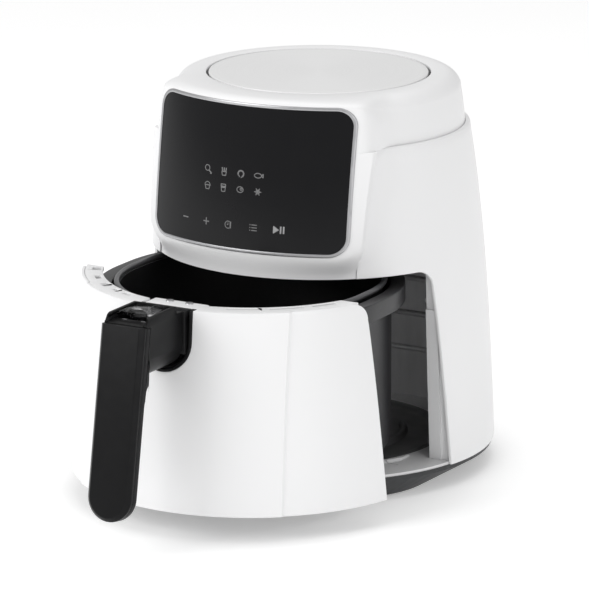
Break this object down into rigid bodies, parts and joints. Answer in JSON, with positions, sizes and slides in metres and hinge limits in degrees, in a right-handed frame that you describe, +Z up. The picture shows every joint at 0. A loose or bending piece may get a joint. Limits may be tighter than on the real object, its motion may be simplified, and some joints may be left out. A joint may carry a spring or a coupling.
{
  "type": "air fryer",
  "caption": "Round-bodied air fryer with a touch panel, a pull-out drawer holding a pan and perforated basket, and a long vertical handle with a guarded release button.",
  "frame": {"origin": "on the body's upright axis, in the plane that its feet stand on", "axes": "+Z up along the body's axis, -Y towards the front, where the drawer pulls out"},
  "size_m": [0.2664, 0.4386, 0.295],
  "materials": {
    "white_shell": "satin moulded ABS",
    "white_inner": "fine matt moulded",
    "lid_disc": "spun satin",
    "dark_ring": "matt",
    "panel_trim": "satin plated",
    "panel_glass": "high gloss, printed behind",
    "clear_guide": "translucent",
    "circuit": "solder mask",
    "inner_plastic": "matt moulded",
    "base_plastic": "fine matt moulded",
    "feet_rubber": "matt",
    "cavity_steel": "aluminised sheet",
    "dish_steel": "non-stick coated",
    "element": "heat-tinted",
    "wire_steel": "bright wire",
    "zinc_steel": "zinc plated",
    "fan_metal": "stamped",
    "fan_plastic": "matt",
    "plunger_red": "moulded",
    "screw_steel": "plated",
    "pan_coating": "non-stick coated",
    "handle_black": "fine matt moulded",
    "button_black": "satin moulded",
    "guard_clear": "clear polycarbonate"
  },
  "bodies": {
    "housing": {"side_shell": "white_shell", "top_housing": "white_shell", "disc_ring": "dark_ring", "top_disc": "lid_disc", "panel_trim": "panel_trim", "control_panel": "panel_glass", "light_guide": "clear_guide", "display_board": "circuit", "display_bracket": "inner_plastic", "base_tray": "base_plastic", "feet": "feet_rubber", "floor_plate": "white_inner", "front_frame": "white_inner", "cavity_liner": "cavity_steel", "floor_dish": "dish_steel", "air_guide": "dish_steel", "heat_reflector": "cavity_steel", "heating_element": "element", "element_guard": "wire_steel", "motor_bracket": "zinc_steel", "motor": "zinc_steel", "cooling_duct": "inner_plastic", "thermal_cutout": "zinc_steel", "temperature_probe": "zinc_steel", "board_tray": "inner_plastic", "power_board": "circuit", "rear_outlet": "base_plastic", "cord_inlet": "base_plastic", "drawer_switch": "fan_plastic", "base_screws": "screw_steel"},
    "drawer": {"drawer_front": "white_shell", "drawer_rim": "white_inner", "pan": "pan_coating", "handle_socket": "handle_black", "pan_bracket": "zinc_steel", "pan_screws": "screw_steel"},
    "basket": {"basket": "pan_coating", "basket_bracket": "white_inner", "bracket_rivets": "screw_steel", "handle_arm": "handle_black", "grip_cover": "handle_black", "handle_screws": "screw_steel", "latch_pin": "screw_steel", "button_spring": "screw_steel"},
    "guard": {"button_guard": "guard_clear"},
    "button": {"release_button": "button_black"},
    "latch": {"latch_lever": "handle_black"},
    "plunger": {"switch_plunger": "plunger_red"},
    "rotor": {"motor_shaft": "zinc_steel", "hot_air_fan": "fan_metal", "cooling_fan": "fan_plastic"}
  },
  "joints": [
    {"name": "drawer_slide", "type": "slide", "parent": "housing", "child": "drawer", "axis": [0, -1, 0], "range_m": [-0.0989, 0.15]},
    {"name": "basket_lift", "type": "slide", "parent": "drawer", "child": "basket", "axis": [0, 0, 1], "range_m": [0, 0.003]},
    {"name": "guard_slide", "type": "slide", "parent": "basket", "child": "guard", "axis": [0, -1, 0], "range_m": [0, 0.016]},
    {"name": "button_press", "type": "slide", "parent": "basket", "child": "button", "axis": [0, 0, -1], "range_m": [0, 0.003], "stiffness_N_per_m": 300, "springref_m": -0.001, "deforming": ["button_spring"]},
    {"name": "latch_turn", "type": "hinge", "parent": "basket", "child": "latch", "pos_m": [0, -0.2109, 0.15], "axis": [1, 0, 0], "range_deg": [0, 4.6]},
    {"name": "plunger_press", "type": "slide", "parent": "housing", "child": "plunger", "axis": [0, 1, 0], "range_m": [0, 0.0015], "stiffness_N_per_m": 200, "springref_m": -0.001},
    {"name": "fan_spin", "type": "hinge", "parent": "housing", "child": "rotor", "pos_m": [0, 0, 0.22], "axis": [0, 0, 1], "continuous": true}
  ],
  "couplings": [
    {"joint": "latch_turn", "follows": "button_press", "rad_per_m": 26.7}
  ]
}
